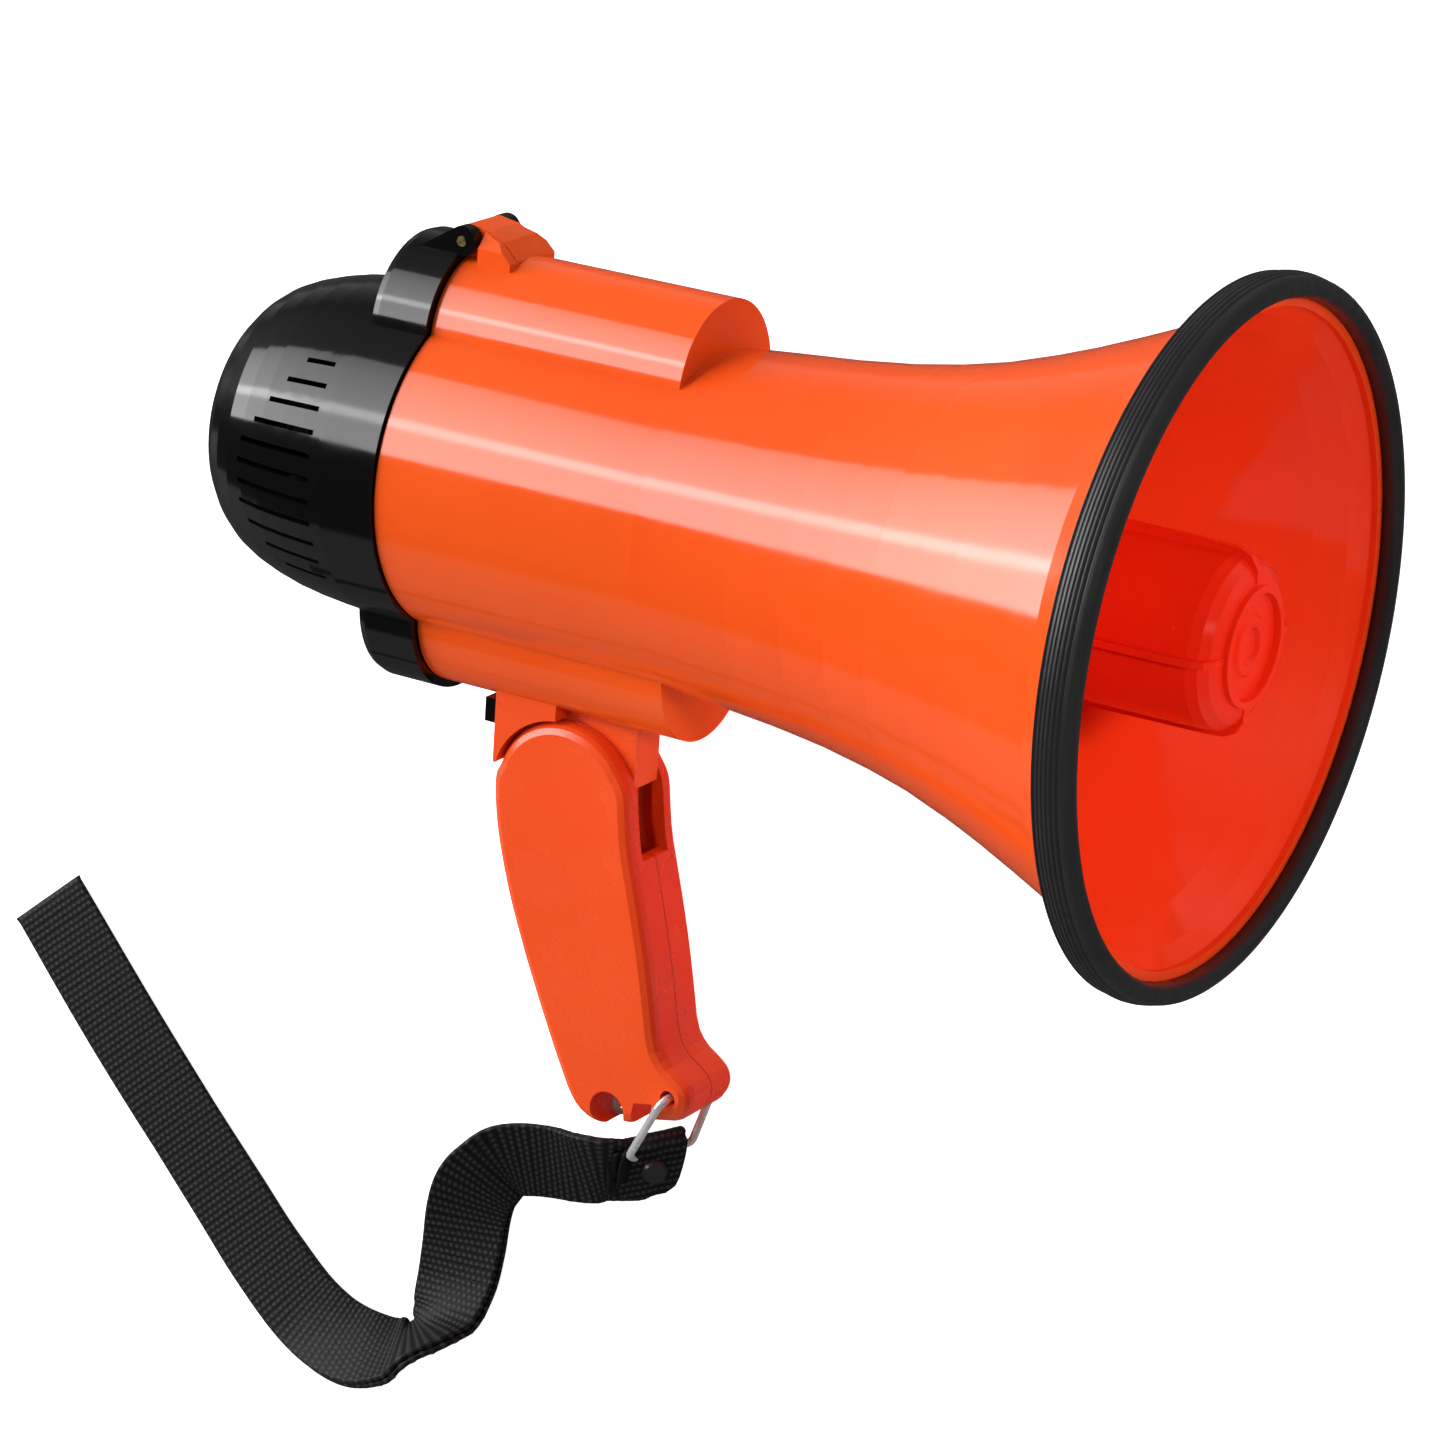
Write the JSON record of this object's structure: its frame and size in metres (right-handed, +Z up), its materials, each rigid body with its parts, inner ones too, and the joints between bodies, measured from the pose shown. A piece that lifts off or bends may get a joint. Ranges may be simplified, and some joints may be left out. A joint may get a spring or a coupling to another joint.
{
  "type": "megaphone",
  "caption": "Handheld megaphone: flared horn with reflector and rubber rim, battery humps on the barrel, hinged rear cover, folding grip with talk button and webbing wrist strap.",
  "frame": {"origin": "bottom centre of the megaphone without its strap, as it lies on its left side on a table: on the rubber rim, the rear cover and the end of the grip", "axes": "+Z up from the table, +X along the table towards the mouth, +Y along the table from grip to hinge. The horn axis rises 10.6 degrees towards the mouth and the top of the horn leans 17 degrees up from the table"},
  "size_m": [0.3172, 0.3016, 0.1576],
  "materials": {
    "orange_plastic": "gloss moulded plastic",
    "reflector_plastic": "gloss moulded plastic",
    "black_gloss": "high gloss",
    "black_matte": "satin",
    "rim_rubber": "ridged rubber",
    "webbing": "woven webbing",
    "black_rivet": "black lacquer",
    "chrome_wire": "bright plating",
    "steel": "plated",
    "brass": "plain",
    "coil_copper": "enamelled wire",
    "ferrite": "sintered",
    "diaphragm_film": "film",
    "board_green": "solder mask",
    "heatsink": "extruded",
    "capacitor_sleeve": "shrink sleeve",
    "foam": "open foam",
    "cell_wrap": "printed sleeve, no print modelled"
  },
  "bodies": {
    "horn": {"barrel_housing": "orange_plastic", "bell": "orange_plastic", "rim_guard": "rim_rubber", "reflector": "reflector_plastic", "throat_tube": "black_matte", "driver_plate": "black_matte", "diaphragm": "diaphragm_film", "voice_coil": "coil_copper", "driver_magnet": "ferrite", "driver_yoke": "steel", "driver_can": "black_matte", "driver_screws": "steel", "amp_board": "board_green", "amp_heatsink": "heatsink", "amp_capacitors": "capacitor_sleeve", "amp_chip": "black_matte", "carrier_upper": "black_matte", "carrier_lower": "black_matte", "cell_upper_a": "cell_wrap", "cell_upper_b": "cell_wrap", "cell_upper_c": "cell_wrap", "cell_lower_a": "cell_wrap", "cell_lower_b": "cell_wrap", "cell_lower_c": "cell_wrap", "contact_springs": "steel", "grip_mount": "orange_plastic", "mount_screws": "steel", "talk_switch": "black_matte", "button_spring": "steel", "cover_pin": "brass", "strap": "webbing"},
    "cover": {"rear_cover": "black_gloss", "cover_divider": "black_matte", "cover_contacts": "steel", "mic_grille": "black_matte", "mic_foam": "foam", "mic_capsule": "steel", "volume_pot": "steel", "mode_switch": "steel"},
    "volume_knob": {"volume_knob": "black_gloss"},
    "mode_slider": {"mode_slider": "black_gloss"},
    "talk_button": {"talk_button": "black_gloss"},
    "grip": {"grip_left": "orange_plastic", "grip_right": "orange_plastic", "grip_screws": "steel", "grip_pin": "steel", "keeper_ring": "steel"},
    "strap_ring": {"strap_ring": "chrome_wire", "strap_tab": "webbing", "strap_rivet": "black_rivet"}
  },
  "joints": [
    {"name": "cover_hinge", "type": "hinge", "parent": "horn", "child": "cover", "pos_m": [-0.07656, 0.0873, 0.0587], "axis": [0.1755, 0.294, -0.9395], "range_deg": [0, 110]},
    {"name": "grip_fold", "type": "hinge", "parent": "horn", "child": "grip", "pos_m": [-0.0355, -0.03227, 0.02895], "axis": [-0.1755, -0.294, 0.9395], "range_deg": [0, 66], "deforming": ["strap"]},
    {"name": "ring_swing", "type": "hinge", "parent": "grip", "child": "strap_ring", "pos_m": [0.00173, -0.0944, 0.01646], "axis": [0.1755, 0.294, -0.9395], "range_deg": [-8, 0]},
    {"name": "talk_press", "type": "slide", "parent": "horn", "child": "talk_button", "axis": [0.983, 0, 0.1836], "range_m": [0, 0.0025], "stiffness_N_per_m": 300, "springref_m": -0.002, "deforming": ["button_spring"]},
    {"name": "volume_turn", "type": "hinge", "parent": "cover", "child": "volume_knob", "pos_m": [-0.12542, 0.02854, 0.0131], "axis": [-0.983, 0, -0.1836], "range_deg": [-135, 135]},
    {"name": "mode_slide", "type": "slide", "parent": "cover", "child": "mode_slider", "axis": [-0.054, 0.9558, 0.289], "range_m": [0, 0.004]}
  ]
}
